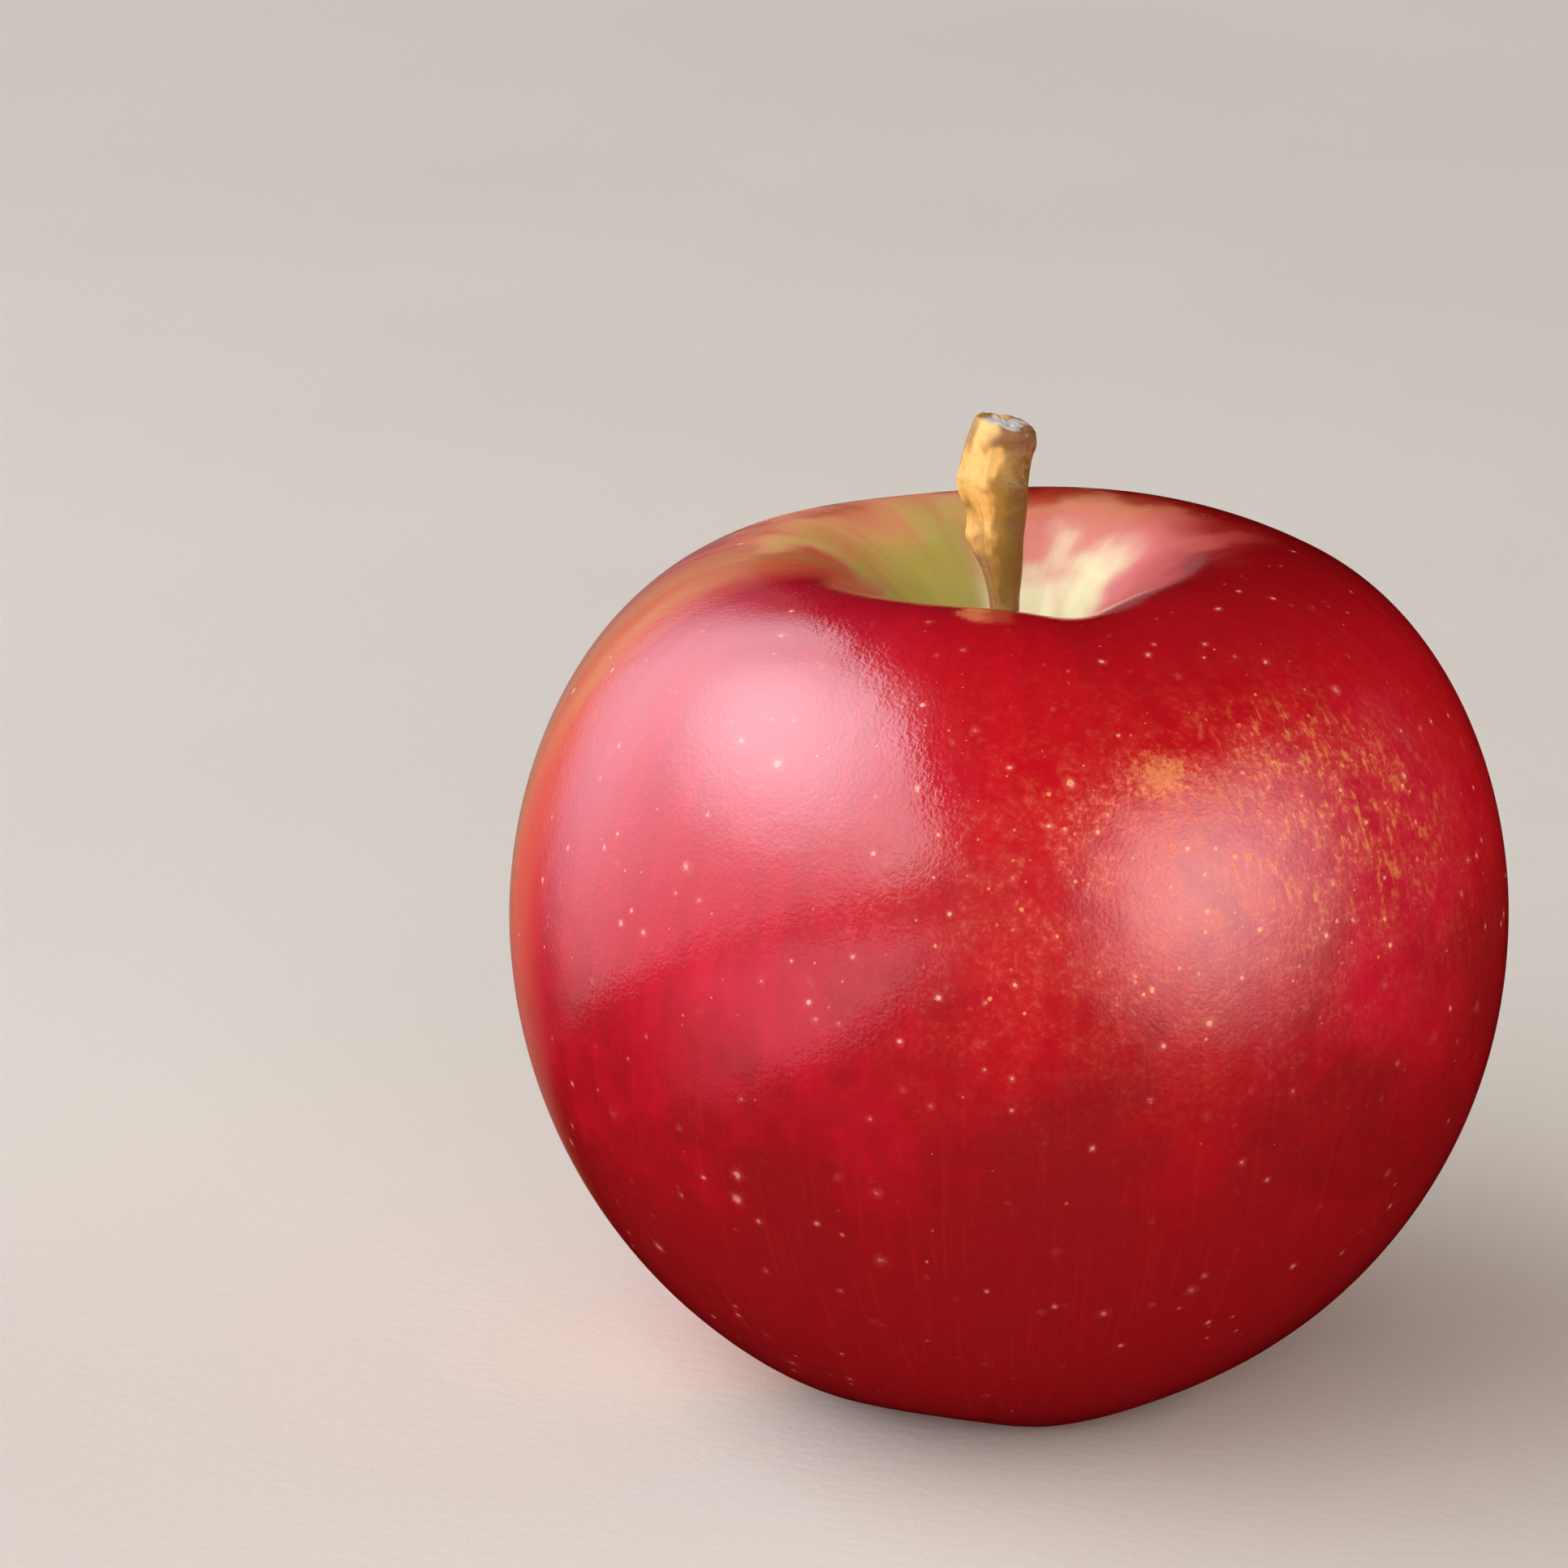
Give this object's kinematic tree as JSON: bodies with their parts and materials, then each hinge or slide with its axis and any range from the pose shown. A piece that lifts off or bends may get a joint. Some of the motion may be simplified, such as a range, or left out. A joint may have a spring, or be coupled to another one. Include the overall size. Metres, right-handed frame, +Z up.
{
  "type": "apple",
  "caption": "Whole ripe red apple, broad-shouldered and slightly flattened, with a short thick stem in a deep cavity and dried sepals under it.",
  "frame": {"origin": "on the surface the apple stands on, under the middle of its box", "axes": "+Z up along the core towards the stem, +X to the right and -Y towards the viewer of its redder side"},
  "size_m": [0.075, 0.0738, 0.0745],
  "materials": {
    "skin": "waxy deep red skin, glossy, with fine pale dots; yellow-green in the stem cavity",
    "stalk": "ochre to brown woody stalk, satin",
    "dry_sepal": "dry grey-brown sepal, matte and downy",
    "dry_stamen": "dark brown dried stamens, matte"
  },
  "bodies": {
    "root": {"fruit": "skin", "stem": "stalk", "sepal_1": "dry_sepal", "sepal_2": "dry_sepal", "sepal_3": "dry_sepal", "sepal_4": "dry_sepal", "sepal_5": "dry_sepal", "stamen_tuft": "dry_stamen"}
  },
  "joints": []
}
